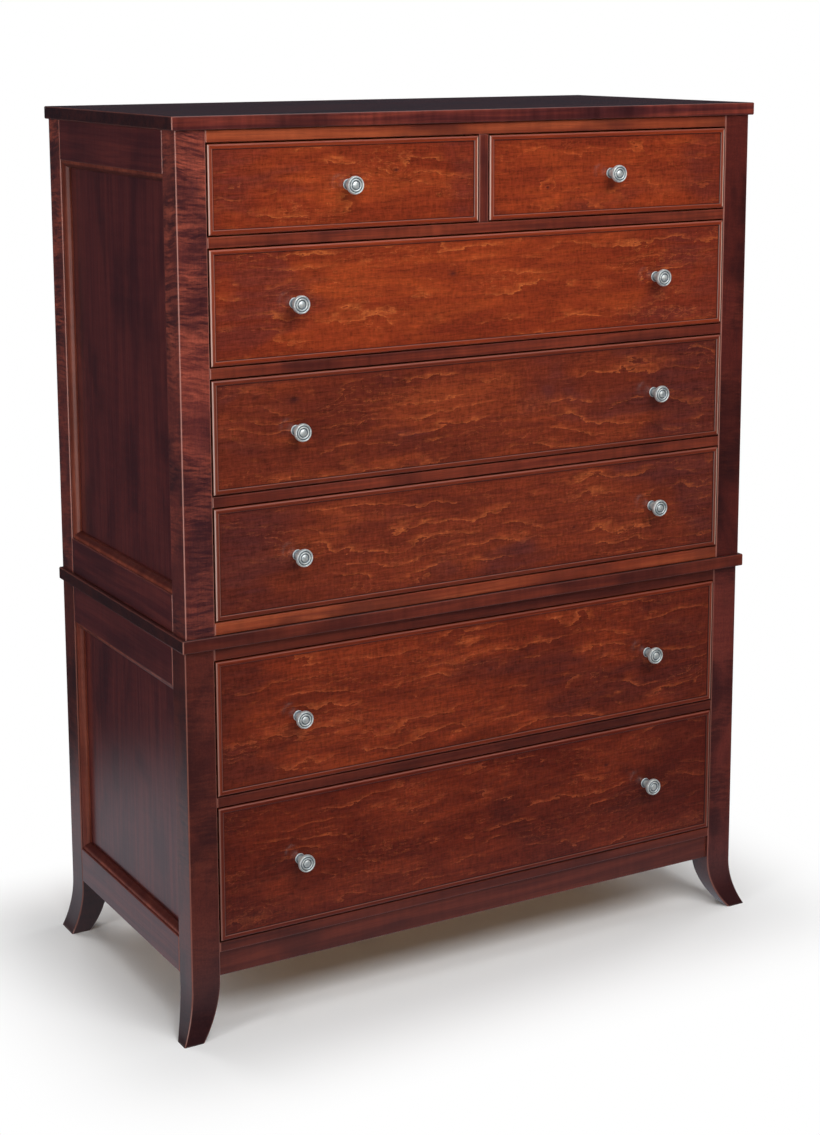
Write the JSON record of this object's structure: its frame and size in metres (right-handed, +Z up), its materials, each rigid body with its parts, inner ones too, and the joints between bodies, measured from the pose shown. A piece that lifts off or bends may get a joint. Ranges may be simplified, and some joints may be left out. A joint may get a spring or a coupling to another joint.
{
  "type": "chest on chest",
  "caption": "Tall two-part chest of drawers: a drawer case on a lower case with flared feet, framed side panels, beaded drawer fronts and round metal knobs.",
  "frame": {"origin": "on the floor under the middle of the whole chest, knobs and feet included", "axes": "+Z up, drawers face and open along -Y, +X to the right of someone facing the drawers"},
  "size_m": [1.167, 0.5836, 1.524],
  "materials": {
    "case_wood": "dark cherry stain, semi-gloss lacquer",
    "post_wood": "dark cherry stain on curly figure, semi-gloss lacquer",
    "drawer_front_wood": "cherry stain on figured face, semi-gloss lacquer",
    "drawer_box_wood": "clear satin lacquer",
    "inner_wood": "bare",
    "back_panel_wood": "stained plywood, matt",
    "pewter": "antique pewter",
    "screw_steel": "zinc plated"
  },
  "bodies": {
    "case": {"top_slab": "case_wood", "waist_slab": "case_wood", "slab_screws": "screw_steel", "upper_front_post_left": "post_wood", "upper_front_post_right": "post_wood", "upper_rear_post_left": "post_wood", "upper_rear_post_right": "post_wood", "upper_side_rails_left": "case_wood", "upper_side_rails_right": "case_wood", "upper_side_panel_left": "case_wood", "upper_side_panel_right": "case_wood", "upper_panel_mouldings": "case_wood", "upper_top_rail": "case_wood", "first_drawer_rail": "case_wood", "second_drawer_rail": "case_wood", "third_drawer_rail": "case_wood", "upper_bottom_rail": "case_wood", "small_drawer_divider": "case_wood", "upper_rear_rails": "inner_wood", "upper_back_panel": "back_panel_wood", "upper_drawer_runners": "inner_wood", "front_leg_left": "post_wood", "front_leg_right": "post_wood", "rear_leg_left": "post_wood", "rear_leg_right": "post_wood", "lower_side_rails_left": "case_wood", "lower_side_rails_right": "case_wood", "lower_side_panel_left": "case_wood", "lower_side_panel_right": "case_wood", "lower_panel_mouldings": "case_wood", "lower_top_rail": "case_wood", "lower_drawer_rail": "case_wood", "ledge_rail": "case_wood", "apron": "case_wood", "lower_rear_rails": "inner_wood", "lower_back_panel": "back_panel_wood", "lower_drawer_runners": "inner_wood", "drawer_stops": "inner_wood"},
    "top_left_drawer": {"top_left_drawer_front": "drawer_front_wood", "top_left_drawer_box": "drawer_box_wood", "top_left_drawer_knobs": "pewter"},
    "top_right_drawer": {"top_right_drawer_front": "drawer_front_wood", "top_right_drawer_box": "drawer_box_wood", "top_right_drawer_knobs": "pewter"},
    "second_drawer": {"second_drawer_front": "drawer_front_wood", "second_drawer_box": "drawer_box_wood", "second_drawer_knobs": "pewter"},
    "third_drawer": {"third_drawer_front": "drawer_front_wood", "third_drawer_box": "drawer_box_wood", "third_drawer_knobs": "pewter"},
    "fourth_drawer": {"fourth_drawer_front": "drawer_front_wood", "fourth_drawer_box": "drawer_box_wood", "fourth_drawer_knobs": "pewter"},
    "fifth_drawer": {"fifth_drawer_front": "drawer_front_wood", "fifth_drawer_box": "drawer_box_wood", "fifth_drawer_knobs": "pewter"},
    "sixth_drawer": {"sixth_drawer_front": "drawer_front_wood", "sixth_drawer_box": "drawer_box_wood", "sixth_drawer_knobs": "pewter"}
  },
  "joints": [
    {"name": "top_left_drawer_slide", "type": "slide", "parent": "case", "child": "top_left_drawer", "axis": [0, -1, 0], "range_m": [0, 0.38]},
    {"name": "top_right_drawer_slide", "type": "slide", "parent": "case", "child": "top_right_drawer", "axis": [0, -1, 0], "range_m": [0, 0.38]},
    {"name": "second_drawer_slide", "type": "slide", "parent": "case", "child": "second_drawer", "axis": [0, -1, 0], "range_m": [0, 0.38]},
    {"name": "third_drawer_slide", "type": "slide", "parent": "case", "child": "third_drawer", "axis": [0, -1, 0], "range_m": [0, 0.38]},
    {"name": "fourth_drawer_slide", "type": "slide", "parent": "case", "child": "fourth_drawer", "axis": [0, -1, 0], "range_m": [0, 0.38]},
    {"name": "fifth_drawer_slide", "type": "slide", "parent": "case", "child": "fifth_drawer", "axis": [0, -1, 0], "range_m": [0, 0.38]},
    {"name": "sixth_drawer_slide", "type": "slide", "parent": "case", "child": "sixth_drawer", "axis": [0, -1, 0], "range_m": [0, 0.38]}
  ]
}
